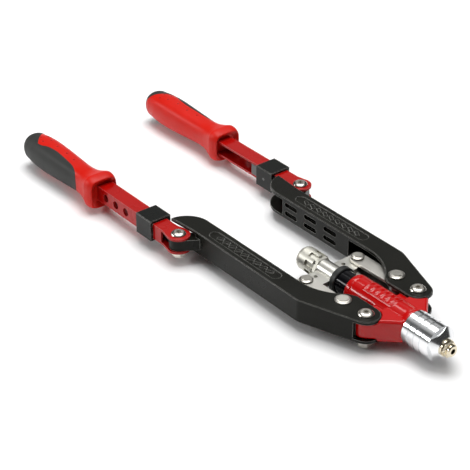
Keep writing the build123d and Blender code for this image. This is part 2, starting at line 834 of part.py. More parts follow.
def handle_channel():
    """Pressed steel channel: web outside, open side inward, two round ears at the hinge."""
    inner = channel_half_height - channel_plate
    width = channel_outer_x - channel_inner_x
    middle = (channel_inner_x + channel_outer_x) / 2
    bar_front = fold_y + ear_neck
    bar = Pos(middle, (bar_front + channel_end) / 2) * Rectangle(width, channel_end - bar_front)
    ear = Pos(fold_x, fold_y) * Circle(ear_plate_radius)
    neck = make_hull((ear + Pos(middle, bar_front) * Rectangle(width, 4.0)).edges())
    channel = plate(bar + neck, -channel_half_height, channel_half_height)
    channel -= block(0, channel_outer_x - channel_plate, 0, channel_end + 1, -inner, inner)
    channel -= block(0, channel_outer_x + 20, 0, pivot_y + web_front_back, -inner, inner)
    for hole in range(web_hole_count):
        y = pivot_y + web_hole_back + hole * web_hole_pitch
        drill = Pos(channel_outer_x, y, 0) * Rot(0, 90, 0) * Cylinder(web_hole_radius, 6 * channel_plate)
        channel -= drill
    return channel - post(bolt_radius, -20, 20, fold_x, fold_y)


def fold_bolt():
    """Button-head bolt of a folding hinge."""
    bottom = -channel_half_height - fold_nut_height - bolt_end / 2
    return button_bolt(channel_half_height, bottom, fold_x, fold_y)


def fold_nut():
    """Lock nut of a folding hinge."""
    return lock_nut(-channel_half_height, fold_nut_height, fold_x, fold_y)


def grip_sections():
    """Stations of the grip: distance from the rim, half width across and half height."""
    return (
        (0.0, flange_rim_half, flange_rim_half),
        (4.0, flange_half - 0.5, flange_half - 0.5),
        (9.0, flange_half, flange_half),
        (19.0, 14.2, 14.6),
        (30.0, 12.8, 13.4),
        (62.0, 14.0, 14.6),
        (94.0, 14.8, 15.4),
        (114.0, 14.2, 14.8),
        (grip_length - 5.0, 11.6, 12.2),
        (grip_length, 6.6, 7.2),
    )


def grip_blank():
    """Whole grip as one lofted form: flared guard, waist, belly and rounded butt."""
    faces = []
    for distance, across, tall in grip_sections():
        corner = min(across, tall) * grip_corner
        section = RectangleRounded(2 * across, 2 * tall, corner)
        plane = Plane(
            origin=(grip_x, pivot_y + grip_back + distance, 0), x_dir=(1, 0, 0), z_dir=(0, 1, 0)
        )
        faces.append(plane * section)
    return loft(faces)


def panel_region():
    """Space that the soft panel fills: the outer side behind the guard, and the butt."""
    start = pivot_y + grip_back + panel_start
    butt = pivot_y + grip_back + grip_length - panel_butt
    side = Pos(0, (start + butt) / 2 + 6) * Rectangle(panel_width, butt - start + 12.0)
    outline = fillet(side.vertices(), 9.0)
    reach = Plane.YZ * (Rot(0, 0, -90) * outline)
    return (Pos(grip_x + panel_depth_x, 0, 0) * extrude(reach, 30)) + block(
        grip_x - 30, grip_x + 30, butt, butt + 40, -30, 30
    )


def grip_core(blank, region):
    """Hard red part of the grip, moulded on the channel, with a funnel in its front face."""
    mouth = RectangleRounded(2 * grip_recess_mouth, 2 * grip_recess_mouth, grip_recess_mouth * grip_corner)
    front = Plane(origin=(grip_x, pivot_y + grip_back, 0), x_dir=(1, 0, 0), z_dir=(0, 1, 0))
    funnel = extrude(front * mouth, grip_recess_depth, taper=grip_recess_taper)
    return blank - region - funnel - channel_space()


def channel_space():
    """Room for the channel through a grip."""
    front = pivot_y + grip_back - 1
    half = channel_half_height
    return block(channel_inner_x, channel_outer_x, front, channel_end, -half, half)


def grip_panel(blank, region):
    """Soft grey panel on the outer side with the butt cap."""
    return (blank & region) - channel_space()


# ================================================================ folding lock
block_front = fold_y + tongue_radius + 1.5


def lock_sleeve():
    """Rectangular sleeve that slides along the channel."""
    outer = block(
        sleeve_inner_x, sleeve_outer_x, sleeve_front, sleeve_rear, -sleeve_half_height, sleeve_half_height
    )
    outer = chamfer(outer.edges(), edge_break)
    hole_half = channel_half_height + face_gap
    hole = block(
        channel_inner_x - face_gap,
        channel_outer_x + face_gap,
        sleeve_front - 1,
        sleeve_rear + 1,
        -hole_half,
        hole_half,
    )
    middle = (sleeve_front + sleeve_rear) / 2
    drill = Pos(sleeve_inner_x, middle, 0) * Rot(0, 90, 0) * Cylinder(lock_pin_radius, 20)
    return outer - hole - drill


def lock_block():
    """Steel block inside the channel; its nose enters the notch of the tongue."""
    half = channel_half_height - channel_plate - free_gap
    inner_x = channel_inner_x - face_gap
    outer_x = channel_outer_x - channel_plate - free_gap
    body = block(inner_x, outer_x, pivot_y + web_front_back + 5.0, sleeve_rear + block_tail, -half, half)
    nose_half = block_nose_half_width
    nose = block(
        fold_x - nose_half, fold_x + nose_half, block_front, pivot_y + web_front_back + 6.0, -half, half
    )
    middle = (sleeve_front + sleeve_rear) / 2
    drill = Pos(inner_x, middle, 0) * Rot(0, 90, 0) * Cylinder(lock_pin_radius, 16)
    return body + nose - drill


def lock_pin():
    """Roll pin that ties the block to its sleeve."""
    middle = (sleeve_front + sleeve_rear) / 2
    length = channel_inner_x - face_gap + 8.0 - sleeve_inner_x
    return Pos(sleeve_inner_x + length / 2, middle, 0) * Rot(0, 90, 0) * Cylinder(lock_pin_radius, length)


# ================================================================ output
def save(name, shape):
    """Write one sub-part to its own STEP file."""
    solids = shape.solids()
    export_step(solids[0] if len(solids) == 1 else Compound(solids), f"parts/{name}.step")


def save_pair(name, shape):
    """Write a left piece and its mirror image on the right."""
    save(f"left_{name}", shape)
    save(f"right_{name}", mirrored(shape))


centre_parts = {
    "body_casting": body_casting,
    "pivot_bushes": pivot_bushes,
    "guide_bush": guide_bush,
    "nose_housing": nose_housing,
    "nosepiece": nosepiece,
    "pivot_bolts": pivot_bolts,
    "pivot_nuts": pivot_nuts,
    "pull_tube": pull_tube,
    "jaw_case": jaw_case,
    "gripping_jaws": gripping_jaws,
    "jaw_pusher": jaw_pusher,
    "jaw_spring": jaw_spring,
    "neck_sleeve": neck_sleeve,
    "stop_ring": stop_ring,
    "crosshead": crosshead,
    "lock_ring": lock_ring,
    "tail_cap": tail_cap,
}
for part_name, make in centre_parts.items():
    save(part_name, make())

grip = grip_blank()
soft_space = panel_region()
save_pair("arm_shell", arm_shell())
save_pair("link_pin", link_pin())
save_pair("link_spacers", link_spacers())
save_pair("link_upper", link_plate_piece(link_inner_face, link_outer_face))
save_pair("link_lower", link_plate_piece(-link_outer_face, -link_inner_face))
save_pair("crosshead_pin", crosshead_pin())
save_pair("handle_channel", handle_channel())
save_pair("fold_bolt", fold_bolt())
save_pair("fold_nut", fold_nut())
save_pair("grip_core", grip_core(grip, soft_space))
save_pair("grip_panel", grip_panel(grip, soft_space))
save_pair("lock_sleeve", lock_sleeve())
save_pair("lock_block", lock_block())
save_pair("lock_pin", lock_pin())

link_range = (round(degrees(link_turn(0)), 4), round(degrees(link_turn(turn)), 4))
print("stroke", round(stroke, 4), "link angle from and to", link_range)
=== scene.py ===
"""Looks of a long-arm hand riveter with folding handles.

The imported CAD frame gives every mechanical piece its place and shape. This
script gives each one its finish, rounds the corners of the body casting, builds
the two-component grips and the jaw spring as numpy surfaces, and sets up the
studio: floor, soft light and camera.
"""

import json
import logging
import math
from dataclasses import dataclass
from enum import Enum

import bmesh
import bpy
import numpy as np
from mathutils import Matrix, Vector


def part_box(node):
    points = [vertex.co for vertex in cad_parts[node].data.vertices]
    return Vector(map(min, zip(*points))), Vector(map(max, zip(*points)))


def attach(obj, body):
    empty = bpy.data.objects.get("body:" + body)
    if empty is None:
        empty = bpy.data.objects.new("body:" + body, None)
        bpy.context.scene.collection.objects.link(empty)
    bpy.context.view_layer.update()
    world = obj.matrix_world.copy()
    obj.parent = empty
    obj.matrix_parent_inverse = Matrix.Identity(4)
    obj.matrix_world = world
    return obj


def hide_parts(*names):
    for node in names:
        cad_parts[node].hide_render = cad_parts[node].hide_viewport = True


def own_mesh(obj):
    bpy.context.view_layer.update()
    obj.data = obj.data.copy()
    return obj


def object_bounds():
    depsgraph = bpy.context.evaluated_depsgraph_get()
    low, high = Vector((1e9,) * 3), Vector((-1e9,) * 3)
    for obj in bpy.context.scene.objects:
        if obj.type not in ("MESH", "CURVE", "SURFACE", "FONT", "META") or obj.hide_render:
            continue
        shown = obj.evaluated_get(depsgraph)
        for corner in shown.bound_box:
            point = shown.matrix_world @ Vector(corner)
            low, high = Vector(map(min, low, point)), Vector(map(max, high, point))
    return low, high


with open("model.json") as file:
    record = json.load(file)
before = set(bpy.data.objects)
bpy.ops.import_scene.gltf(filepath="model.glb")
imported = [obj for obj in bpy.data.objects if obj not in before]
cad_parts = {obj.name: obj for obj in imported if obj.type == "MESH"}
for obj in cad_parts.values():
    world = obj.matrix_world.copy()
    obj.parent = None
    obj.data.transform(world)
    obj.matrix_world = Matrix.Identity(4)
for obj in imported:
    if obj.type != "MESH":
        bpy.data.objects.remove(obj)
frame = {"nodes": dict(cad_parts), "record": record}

MM = 0.001
MERGE = 1e-6  # metres; points nearer than this are one point
CREASE = math.radians(38)  # faces that meet at more than this keep a sharp edge
CAD_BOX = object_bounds()
log = logging.getLogger("riveter")


class Side(Enum):
    """The two mirrored halves of the tool, with the sign of their X."""

    LEFT = 1
    RIGHT = -1

    @property
    def word(self) -> str:
        """The prefix that this half's nodes and bodies carry."""
        return self.name.lower()


class Texture(Enum):
    """The kinds of fine relief that a finish can have."""

    ENAMEL = "sprayed paint with a faint waviness"
    POWDER = "powder coat with a fine grain"
    TURNED = "fine rings left by a lathe round the pull axis"
    BRUSHED = "short scratches along the piece"
    PLATED = "plated steel with faint clouding"
    MOULDED = "moulded plastic with a matte grain"
    SOFT = "soft moulded rubber with a fine grain"


# ---------------------------------------------------------------- shader groups
class Wiring:
    """Small helper that places and links nodes in one node tree."""

    def __init__(self, tree: bpy.types.NodeTree) -> None:
        """Keeps the tree that the nodes go into."""
        self.tree = tree

    def add(self, kind: str, **inputs: object) -> bpy.types.Node:
        """Places a node and fills its inputs.

        Args:
            kind: The node's type name.
            **inputs: Input name, with underscores for spaces, to a value or an output socket.

        Returns:
            The new node.
        """
        node = self.tree.nodes.new(kind)
        for name, value in inputs.items():
            socket = node.inputs[name.replace("_", " ")]
            if isinstance(value, bpy.types.NodeSocket):
                self.tree.links.new(value, socket)
            else:
                socket.default_value = value
        return node

    def math(self, operation: str, first: object, second: object = 0.0) -> bpy.types.NodeSocket:
        """Adds a math node.

        Args:
            operation: Blender's name of the operation.
            first: A value or an output socket.
            second: A value or an output socket.

        Returns:
            The node's output.
        """
        node = self.tree.nodes.new("ShaderNodeMath")
        node.operation = operation
        for socket, value in zip(node.inputs, (first, second)):
            if isinstance(value, bpy.types.NodeSocket):
                self.tree.links.new(value, socket)
            else:
                socket.default_value = value
        return node.outputs[0]

    def noise(self, vector: object, scale: float, detail: float = 2.0) -> bpy.types.NodeSocket:
        """Adds a noise texture and returns its value output."""
        node = self.add("ShaderNodeTexNoise", Vector=vector, Scale=scale, Detail=detail)
        return node.outputs["Fac"]

    def ramp(
        self, value: object, low: float, high: float, start: float, end: float
    ) -> bpy.types.NodeSocket:
        """Maps a value from low..high to start..end, clamped, and returns the output."""
        limits = {"From_Min": low, "From_Max": high, "To_Min": start, "To_Max": end}
        return self.add("ShaderNodeMapRange", Value=value, **limits).outputs["Result"]


def new_group(name: str, inputs: dict[str, float], outputs: dict[str, str]) -> bpy.types.NodeTree:
    """Makes an empty shader node group with float inputs and named outputs.

    Args:
        name: The group's name.
        inputs: Input name to default value.
        outputs: Output name to socket type.

    Returns:
        The group, holding its input and output nodes.
    """
    group = bpy.data.node_groups.new(name, "ShaderNodeTree")
    for label, value in inputs.items():
        socket = group.interface.new_socket(label, in_out="INPUT", socket_type="NodeSocketFloat")
        socket.default_value = value
    for label, kind in outputs.items():
        group.interface.new_socket(label, in_out="OUTPUT", socket_type=kind)
    group.nodes.new("NodeGroupInput")
    group.nodes.new("NodeGroupOutput")
    return group


def grain_group() -> bpy.types.NodeTree:
    """Isotropic grain: two sizes of noise added, the finer one at half weight."""
    outputs = {"Height": "NodeSocketFloat", "Cloud": "NodeSocketFloat"}
    group = new_group("fine grain", {"Grains per metre": 1500.0}, outputs)
    wires = Wiring(group)
    given = group.nodes["Group Input"].outputs
    place = wires.add("ShaderNodeTexCoord").outputs["Object"]
    coarse = wires.add("ShaderNodeTexNoise", Vector=place, Scale=given[0], Detail=2.0).outputs["Fac"]
    finer = wires.add(
        "ShaderNodeTexNoise", Vector=place, Scale=wires.math("MULTIPLY", given[0], 2.7), Detail=1.0
    ).outputs["Fac"]
    height = wires.math("ADD", coarse, wires.math("MULTIPLY", finer, 0.5))
    cloud = wires.noise(place, 28.0, 3.0)
    ends = group.nodes["Group Output"].inputs
    group.links.new(height, ends["Height"])
    group.links.new(cloud, ends["Cloud"])
    return group


def streak_group() -> bpy.types.NodeTree:
    """Streaks: noise on coordinates stretched by one factor for each axis."""
    group = new_group(
        "streaks",
        {"Across X": 200.0, "Across Y": 4000.0, "Across Z": 200.0},
        {"Height": "NodeSocketFloat", "Cloud": "NodeSocketFloat"},
    )
    wires = Wiring(group)
    given = group.nodes["Group Input"].outputs
    place = wires.add("ShaderNodeTexCoord").outputs["Object"]
    scale = wires.add("ShaderNodeCombineXYZ", X=given[0], Y=given[1], Z=given[2]).outputs[0]
    stretch = group.nodes.new("ShaderNodeVectorMath")
    stretch.operation = "MULTIPLY"
    group.links.new(place, stretch.inputs[0])
    group.links.new(scale, stretch.inputs[1])
    height = wires.noise(stretch.outputs[0], 1.0, 3.0)
    cloud = wires.noise(place, 45.0, 3.0)
    ends = group.nodes["Group Output"].inputs
    group.links.new(height, ends["Height"])
    group.links.new(cloud, ends["Cloud"])
    return group


def tint_group() -> bpy.types.NodeTree:
    """Colour variation: the colour is darkened and lightened a little by a cloud mask."""
    group = new_group("tint", {"Cloud": 0.5, "Amount": 0.1}, {"Color": "NodeSocketColor"})
    group.interface.new_socket("Base", in_out="INPUT", socket_type="NodeSocketColor")
    wires = Wiring(group)
    given = group.nodes["Group Input"].outputs
    swing = wires.math("MULTIPLY", wires.math("SUBTRACT", given["Cloud"], 0.5), given["Amount"])
    value = wires.math("ADD", 1.0, swing)
    shade = wires.add("ShaderNodeHueSaturation", Color=given["Base"], Value=value)
    group.links.new(shade.outputs["Color"], group.nodes["Group Output"].inputs["Color"])
    return group


def edge_group() -> bpy.types.NodeTree:
    """Edge mask: near 1 where the surface turns sharply within a small radius."""
    group = new_group("edges", {"Radius": 0.0007}, {"Mask": "NodeSocketFloat"})
    wires = Wiring(group)
    given = group.nodes["Group Input"].outputs
    bevel = wires.add("ShaderNodeBevel", Radius=given["Radius"])
    bevel.samples = 6
    compare = group.nodes.new("ShaderNodeVectorMath")
    compare.operation = "DOT_PRODUCT"
    group.links.new(bevel.outputs["Normal"], compare.inputs[0])
    group.links.new(wires.add("ShaderNodeNewGeometry").outputs["True Normal"], compare.inputs[1])
    turned = wires.ramp(wires.math("SUBTRACT", 1.0, compare.outputs["Value"]), 0.015, 0.08, 0.0, 1.0)
    place = wires.add("ShaderNodeTexCoord").outputs["Object"]
    broken = wires.ramp(wires.noise(place, 260.0, 3.0), 0.25, 0.6, 0.55, 1.0)
    group.links.new(wires.math("MULTIPLY", turned, broken), group.nodes["Group Output"].inputs["Mask"])
    return group


# ---------------------------------------------------------------- finishes
@dataclass(frozen=True)
class Finish:
    """One surface finish, named after the record's material slot."""

    slot: str
    color: tuple[float, float, float]
    texture: Texture
    roughness: float
    metallic: float = 0.0
    coat: float = 0.0
    coat_roughness: float = 0.05
    tint: float = 0.25
    relief: float = 0.01  # height of the fine relief, in millimetres
    grains: float = 1500.0  # grains per metre
    rough_swing: float = 0.08  # how far the roughness wanders
    shine: float = 0.5  # specular level of the bare surface
    edge_wear_and_highlight: tuple[float, float, float] | None = None  # colour of rubbed edges and of the painted highlight along them

    def material(self, groups: dict[str, bpy.types.NodeTree]) -> bpy.types.Material:
        """Builds the Blender material.

        Args:
            groups: The shared node groups by name.

        Returns:
            The material, ready to assign.
        """
        made = bpy.data.materials.new(self.slot)
        made.use_nodes = True
        tree = made.node_tree
        wires = Wiring(tree)
        shader = tree.nodes["Principled BSDF"]
        relief = self._relief(wires, groups)
        tint = wires.add("ShaderNodeGroup")
        tint.node_tree = groups["tint"]
        tree.links.new(relief.outputs["Cloud"], tint.inputs["Cloud"])
        tint.inputs["Amount"].default_value = self.tint
        tint.inputs["Base"].default_value = (*self.color, 1.0)
        color = tint.outputs["Color"]
        # rubbed edges, lightened also as a painted highlight along the edges
        if self.edge_wear_and_highlight is not None:
            color = self._wear_and_highlight_edges(wires, groups["edges"], color)
        tree.links.new(color, shader.inputs["Base Color"])
        smoothest, roughest = self.roughness - self.rough_swing, self.roughness + self.rough_swing
        rough = wires.ramp(relief.outputs["Cloud"], 0.3, 0.7, smoothest, roughest)
        tree.links.new(rough, shader.inputs["Roughness"])
        shader.inputs["Metallic"].default_value = self.metallic
        shader.inputs["Specular IOR Level"].default_value = self.shine
        shader.inputs["Coat Weight"].default_value = self.coat
        shader.inputs["Coat Roughness"].default_value = self.coat_roughness
        height = relief.outputs["Height"]
        bump = wires.add("ShaderNodeBump", Height=height, Strength=1.0, Distance=self.relief * MM)
        tree.links.new(bump.outputs["Normal"], shader.inputs["Normal"])
        return made

    def _wear_and_highlight_edges(
        self, wires: Wiring, group: bpy.types.NodeTree, color: bpy.types.NodeSocket
    ) -> bpy.types.NodeSocket:
        """Lightens the colour along sharp edges, where hands and benches rub the finish; the lighter edge
        also serves as a painted highlight, standing in for the light lines that the edges catch.

        Args:
            wires: The material's wiring.
            group: The shared edge mask.
            color: The finish's own colour.

        Returns:
            The mixed colour.
        """
        edges = wires.add("ShaderNodeGroup")
        edges.node_tree = group
        mix = wires.tree.nodes.new("ShaderNodeMix")
        mix.data_type = "RGBA"
        wires.tree.links.new(edges.outputs["Mask"], mix.inputs["Factor"])
        wires.tree.links.new(color, mix.inputs[6])
        # the edge colour: wear, and also a painted highlight along the edges
        mix.inputs[7].default_value = (*self.edge_wear_and_highlight, 1.0)
        return mix.outputs[2]

    def _relief(self, wires: Wiring, groups: dict[str, bpy.types.NodeTree]) -> bpy.types.Node:
        """Places the node group that gives this finish its relief and its cloud mask.

        Args:
            wires: The material's wiring.
            groups: The shared node groups by name.

        Returns:
            The group node, with outputs Height and Cloud.
        """
        streaks = {
            Texture.TURNED: (60.0, self.grains * 3.0, 60.0),
            Texture.BRUSHED: (self.grains * 2.0, 120.0, self.grains * 2.0),
        }
        node = wires.add("ShaderNodeGroup")
        if self.texture in streaks:
            node.node_tree = groups["streaks"]
            for socket, value in zip(node.inputs, streaks[self.texture]):
                socket.default_value = value
        else:
            node.node_tree = groups["grain"]
            node.inputs[0].default_value = self.grains
        return node


FINISHES = (
    Finish(
        "red_casting", (0.47, 0.001, 0.001), Texture.ENAMEL, 0.30,
        coat=0.65, coat_roughness=0.09, relief=0.02, grains=260, shine=0.06, tint=0.25,
    ),
    Finish("bronze", (0.62, 0.42, 0.20), Texture.TURNED, 0.35, metallic=1.0, relief=0.004),
    Finish(
        "polished_aluminium", (0.88, 0.89, 0.90), Texture.TURNED, 0.16,
        metallic=1.0, relief=0.003, rough_swing=0.04,
    ),
    Finish(
        "nosepiece_steel", (0.78, 0.70, 0.54), Texture.TURNED, 0.20,
        metallic=1.0, relief=0.003, rough_swing=0.05,
    ),
    Finish(
        "zinc_fasteners", (0.66, 0.63, 0.57), Texture.PLATED, 0.26,
        metallic=1.0, relief=0.008, grains=900,
    ),
    Finish(
        "pin_steel", (0.56, 0.54, 0.49), Texture.PLATED, 0.32,
        metallic=1.0, relief=0.006, grains=900,
    ),
    Finish("spacer_steel", (0.55, 0.54, 0.52), Texture.PLATED, 0.35, metallic=1.0),
    Finish(
        "tube_chrome", (0.52, 0.50, 0.47), Texture.TURNED, 0.14,
        metallic=1.0, relief=0.002, rough_swing=0.03,
    ),
    Finish("jaw_steel", (0.30, 0.29, 0.28), Texture.TURNED, 0.40, metallic=1.0),
    Finish("spring_steel", (0.45, 0.45, 0.46), Texture.BRUSHED, 0.35, metallic=1.0),
    Finish(
        "gloss_black", (0.003, 0.003, 0.004), Texture.ENAMEL, 0.10,
        relief=0.006, grains=300, shine=0.2, rough_swing=0.03,
    ),
    Finish("satin_black", (0.022, 0.023, 0.022), Texture.TURNED, 0.42, relief=0.004, shine=0.3),
    Finish(
        "crosshead_steel", (0.66, 0.65, 0.60), Texture.PLATED, 0.36,
        metallic=1.0, relief=0.01, grains=700,
    ),
    Finish("nickel", (0.56, 0.55, 0.49), Texture.PLATED, 0.42, metallic=1.0, relief=0.006, grains=900),
    Finish("link_steel", (0.66, 0.64, 0.59), Texture.BRUSHED, 0.36, metallic=1.0, relief=0.004),
    Finish(
        "arm_black", (0.006, 0.006, 0.004), Texture.POWDER, 0.32,
        relief=0.03, grains=1500, tint=0.5, shine=0.15, edge_wear_and_highlight=(0.30, 0.30, 0.28),
    ),
    Finish(
        "handle_red", (0.37, 0.003, 0.002), Texture.ENAMEL, 0.30,
        coat=0.35, coat_roughness=0.10, relief=0.012, grains=300, shine=0.08, edge_wear_and_highlight=(0.50, 0.10, 0.10),
    ),
    Finish(
        "grip_red", (0.56, 0.010, 0.004), Texture.MOULDED, 0.38,
        relief=0.02, grains=1300, tint=0.15, shine=0.2,
    ),
    Finish(
        "grip_grey", (0.026, 0.027, 0.025), Texture.SOFT, 0.55,
        relief=0.04, grains=1700, tint=0.4, shine=0.25,
    ),
    Finish(
        "sleeve_black", (0.005, 0.006, 0.005), Texture.MOULDED, 0.30,
        relief=0.02, grains=1200, tint=0.4, shine=0.18, edge_wear_and_highlight=(0.28, 0.28, 0.26),
    ),
    Finish("block_steel", (0.12, 0.12, 0.12), Texture.PLATED, 0.42, metallic=1.0),
)


class Workshop:
    """Holds the materials and dresses the CAD nodes."""

    def __init__(self) -> None:
        """Builds the shared groups and one material for each finish."""
        groups = {
            "grain": grain_group(),
            "streaks": streak_group(),
            "tint": tint_group(),
            "edges": edge_group(),
        }
        self.materials = {finish.slot: finish.material(groups) for finish in FINISHES}

    def dress_frame(self) -> None:
        """Gives every CAD node the material of its slot."""
        for entry in frame["record"]["subparts"]:
            node = frame["nodes"][entry["node"]]
            material = self.materials[entry["material_slot"]]
            if not node.material_slots:
                node.data.materials.append(material)
            for holder in node.material_slots:
                holder.material = material
        log.info("dressed %d CAD nodes", len(frame["nodes"]))


# ---------------------------------------------------------------- surfaces
def lattice(points: np.ndarray, closed: bool) -> tuple[np.ndarray, np.ndarray]:
    """Turns a grid of points into vertices and quads.

    Each quad joins a point, its neighbour in the next column and the same two
    in the next row; in a closed grid the last column joins the first.

    Args:
        points: Array of rows by columns by 3, in metres.
        closed: Whether the columns go all the way round.

    Returns:
        The vertices and the quads' indices.
    """
    rows, columns = points.shape[:2]
    spans = columns if closed else columns - 1
    row = np.arange(rows - 1)[:, None]
    column = np.arange(spans)[None, :]
    after = (column + 1) % columns
    quads = np.stack(
        [
            row * columns + column,
            row * columns + after,
            (row + 1) * columns + after,
            (row + 1) * columns + column,
        ],
        axis=-1,
    )
    return points.reshape(-1, 3), quads.reshape(-1, 4)


def skin(name: str, points: np.ndarray, closed: bool, material: bpy.types.Material) -> bpy.types.Object:
    """Makes a smooth mesh object from a grid of points, its doubles merged and its faces outward.

    Args:
        name: The object's name.
        points: Rows by columns by 3, in metres, in the row frame.
        closed: Whether the columns go all the way round.
        material: The piece's material.

    Returns:
        The new object, at the origin.
    """
    vertices, quads = lattice(points, closed)
    mesh = bpy.data.meshes.new(name)
    mesh.from_pydata(vertices.tolist(), [], quads.tolist())
    form = bmesh.new()
    form.from_mesh(mesh)
    bmesh.ops.remove_doubles(form, verts=form.verts, dist=MERGE)
    bmesh.ops.dissolve_degenerate(form, edges=form.edges, dist=MERGE / 10)
    bmesh.ops.recalc_face_normals(form, faces=form.faces)
    form.to_mesh(mesh)
    form.free()
    mesh.shade_smooth()
    mesh.set_sharp_from_angle(angle=CREASE)
    mesh.materials.append(material)
    piece = bpy.data.objects.new(name, mesh)
    bpy.context.scene.collection.objects.link(piece)
    return piece


# ---------------------------------------------------------------- body casting
@dataclass
class BodyCasting:
    """The body: the CAD shape with its corners rounded like a sand casting's."""

    voxel: float = 0.5  # size of the even mesh, in millimetres
    rounds: int = 5  # how many times the mesh is smoothed
    smoothing: float = 0.5

    def rounded_mesh(self) -> bpy.types.Mesh:
        """Copies the CAD mesh, merges its points, makes it even and smooths it.

        Returns:
            The rounded mesh, with no material.
        """
        mesh = frame["nodes"]["body_casting"].data.copy()
        form = bmesh.new()
        form.from_mesh(mesh)
        bmesh.ops.remove_doubles(form, verts=form.verts, dist=MERGE)
        form.to_mesh(mesh)
        form.free()
        rough = bpy.data.objects.new("rough casting", mesh)
        bpy.context.scene.collection.objects.link(rough)
        remesh = rough.modifiers.new("even", "REMESH")
        remesh.mode = "VOXEL"
        remesh.voxel_size = self.voxel * MM
        smooth = rough.modifiers.new("round", "SMOOTH")
        smooth.factor = self.smoothing
        smooth.iterations = self.rounds
        shaped = rough.evaluated_get(bpy.context.evaluated_depsgraph_get())
        finished = bpy.data.meshes.new_from_object(shaped)
        bpy.data.objects.remove(rough)
        finished.shade_smooth()
        finished.materials.clear()
        return finished

    def build(self, shop: Workshop) -> None:
        """Puts the rounded casting in the CAD body's place.

        Args:
            shop: The workshop with the materials.
        """
        mesh = self.rounded_mesh()
        mesh.materials.append(shop.materials["red_casting"])
        casting = bpy.data.objects.new("rounded_body_casting", mesh)
        bpy.context.scene.collection.objects.link(casting)
        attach(casting, "body")
        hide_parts("body_casting")
        log.info("rounded the body casting: %d faces", len(mesh.polygons))


